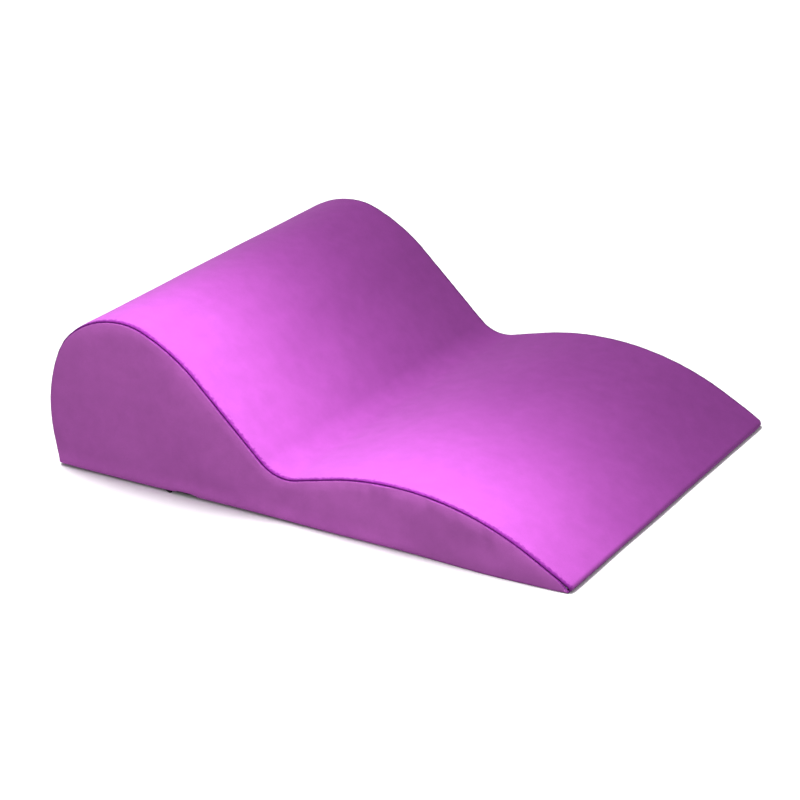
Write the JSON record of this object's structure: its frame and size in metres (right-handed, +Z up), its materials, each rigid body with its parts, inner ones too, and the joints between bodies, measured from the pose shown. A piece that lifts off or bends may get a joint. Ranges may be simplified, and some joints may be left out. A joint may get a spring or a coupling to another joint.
{
  "type": "contoured foam wedge cushion",
  "caption": "Wave-shaped foam wedge with a tall rounded back, a dip and a lower hump that thins to the floor, in a zip-off velour cover.",
  "frame": {"origin": "centre of the footprint on the floor under the cushion", "axes": "+X from the tall back to the thin front edge, +Y across the width to the side away from the zip slider, +Z up"},
  "size_m": [0.8299, 0.61, 0.24],
  "materials": {
    "velour": "matte",
    "base_cloth": "matte",
    "zip_tape": "matte",
    "zip_coil": "satin",
    "thread_black": "matte",
    "thread_purple": "matte",
    "label": "satin",
    "liner": "matte",
    "foam": "matte",
    "slider_metal": "satin"
  },
  "bodies": {
    "cushion": {"cover_top_panel": "velour", "cover_side_panel_near": "velour", "cover_side_panel_far": "velour", "cover_base_panel": "base_cloth", "zip_tape_side": "zip_tape", "zip_tape_base": "zip_tape", "zip_coil_side": "zip_coil", "zip_coil_base": "zip_coil", "zip_stop_near": "zip_coil", "zip_stop_far": "zip_coil", "zip_stitching_side": "thread_black", "zip_stitching_base": "thread_black", "side_seam_thread_near": "thread_purple", "side_seam_thread_far": "thread_purple", "base_seam_thread": "thread_purple", "care_label": "label", "liner_top_panel": "liner", "liner_side_panel_near": "liner", "liner_side_panel_far": "liner", "liner_base_panel": "liner", "foam_core": "foam"},
    "zip_slider": {"zip_slider_body": "slider_metal"},
    "pull_tab": {"zip_pull_tab": "slider_metal"}
  },
  "joints": [
    {"name": "zip_slide", "type": "slide", "parent": "cushion", "child": "zip_slider", "axis": [1, 0, 0], "range_m": [-0.142, 0.05]},
    {"name": "pull_tab_flip", "type": "hinge", "parent": "zip_slider", "child": "pull_tab", "pos_m": [-0.2265, -0.2945, 0.0021], "axis": [0.4226, 0.9063, 0], "range_deg": [0, 172]}
  ]
}
